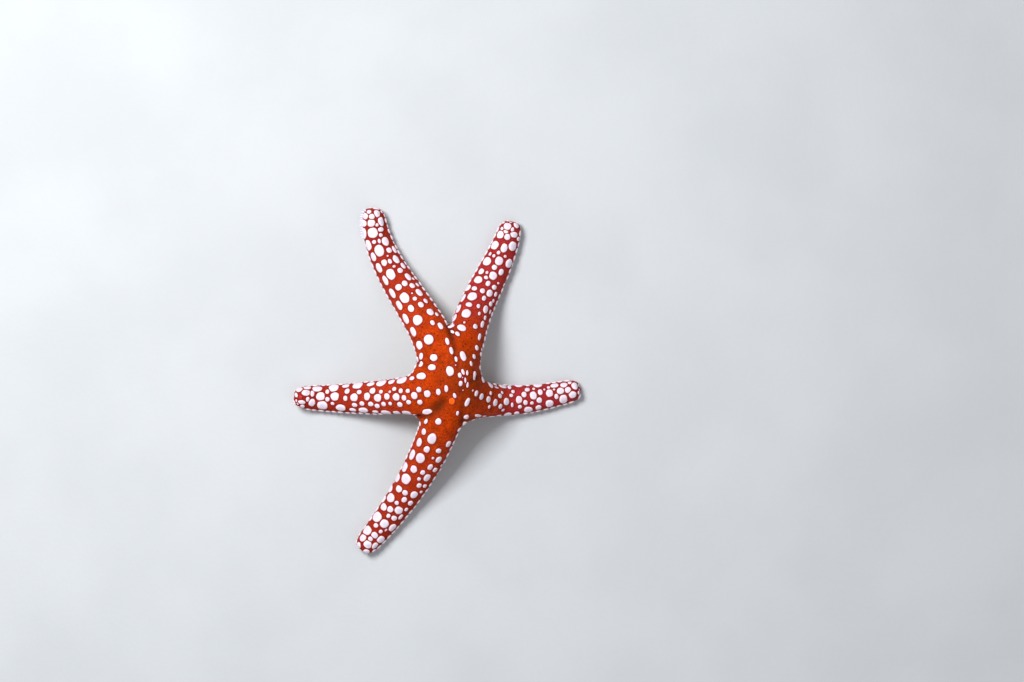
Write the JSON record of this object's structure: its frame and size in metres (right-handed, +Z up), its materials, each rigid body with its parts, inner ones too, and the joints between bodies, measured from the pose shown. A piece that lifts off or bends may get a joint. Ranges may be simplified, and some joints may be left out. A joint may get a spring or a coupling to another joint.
{
  "type": "sea star",
  "caption": "Sea star with slender tapering arms draped over a low hump, its scarlet skin set with raised white plates, and a furrow under each arm.",
  "frame": {"origin": "on the floor, under the middle of the star's outline", "axes": "+Z up, +X to the right and +Y away from a viewer who looks down on the back, as in the picture"},
  "size_m": [0.0621, 0.0748, 0.0148],
  "materials": {
    "skin": "satin",
    "plate": "satin",
    "eye_spot": "satin",
    "madreporite": "matte",
    "soft_tissue": "satin"
  },
  "bodies": {
    "root": {"disc": "skin", "arm_right_base": "skin", "arm_right_outer": "skin", "arm_upper_right_base": "skin", "arm_upper_right_outer": "skin", "arm_upper_left_base": "skin", "arm_upper_left_outer": "skin", "arm_left_base": "skin", "arm_left_outer": "skin", "arm_lower_base": "skin", "arm_lower_outer": "skin", "tip_plate_right": "plate", "eye_spot_right": "eye_spot", "tip_plate_upper_right": "plate", "eye_spot_upper_right": "eye_spot", "tip_plate_upper_left": "plate", "eye_spot_upper_left": "eye_spot", "tip_plate_left": "plate", "eye_spot_left": "eye_spot", "tip_plate_lower": "plate", "eye_spot_lower": "eye_spot", "madreporite": "madreporite", "mouth": "soft_tissue"}
  },
  "joints": []
}
